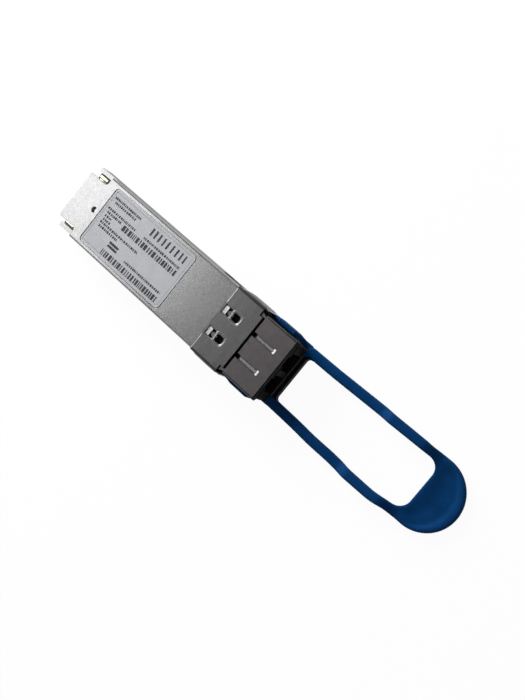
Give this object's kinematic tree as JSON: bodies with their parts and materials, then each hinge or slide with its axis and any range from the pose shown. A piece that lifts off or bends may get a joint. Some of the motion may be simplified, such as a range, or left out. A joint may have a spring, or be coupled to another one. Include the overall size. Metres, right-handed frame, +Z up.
{
  "type": "optical transceiver module",
  "caption": "Pluggable optical transceiver module: cast metal body with card edge, shield collar and duplex fibre port, released by a sliding latch frame with a blue pull tab.",
  "frame": {"origin": "middle of the flat heat-sink face, between the card end and the nose", "axes": "+X along the module from the card edge to the pull tab, +Y across it, +Z up out of the label face"},
  "size_m": [0.1235, 0.0196, 0.0088],
  "materials": {
    "die_cast": "fine-grained die casting, nickel plated",
    "label": "silver polyester film",
    "steel": "bright",
    "gasket": "matt",
    "shield_sheet": "smooth plated sheet",
    "nose_metal": "satin",
    "black_plastic": "moulded",
    "ceramic": "ground",
    "amber_film": "polyimide film",
    "board": "solder mask",
    "chip": "moulded package",
    "gap_pad": "soft pad",
    "black_metal": "black coating",
    "blue_elastomer": "semi-matt moulding"
  },
  "bodies": {
    "module": {"housing_base": "die_cast", "housing_cover": "die_cast", "label_plate": "label", "locating_pin": "steel", "gasket_left": "gasket", "gasket_right": "gasket", "emi_collar": "shield_sheet", "nose_cover": "nose_metal", "lc_receptacle": "black_plastic", "sleeve_transmit": "ceramic", "sleeve_receive": "ceramic", "transmit_optics": "steel", "receive_optics": "steel", "transmit_flex": "amber_film", "receive_flex": "amber_film", "paddle_card": "board", "driver_chip": "chip", "amplifier_chip": "chip", "controller_chip": "chip", "retimer_chip": "chip", "power_inductor": "chip", "clock_crystal": "steel", "thermal_pad_retimer": "gap_pad", "thermal_pad_transmit": "gap_pad", "thermal_pad_receive": "gap_pad", "return_spring_left": "steel", "return_spring_right": "steel"},
    "slider": {"latch_slider": "black_metal", "pull_tab": "blue_elastomer"}
  },
  "joints": [
    {"name": "tab_pull", "type": "slide", "parent": "module", "child": "slider", "axis": [1, 0, 0], "range_m": [0, 0.0025], "stiffness_N_per_m": 400, "deforming": ["return_spring_left", "return_spring_right"]}
  ]
}
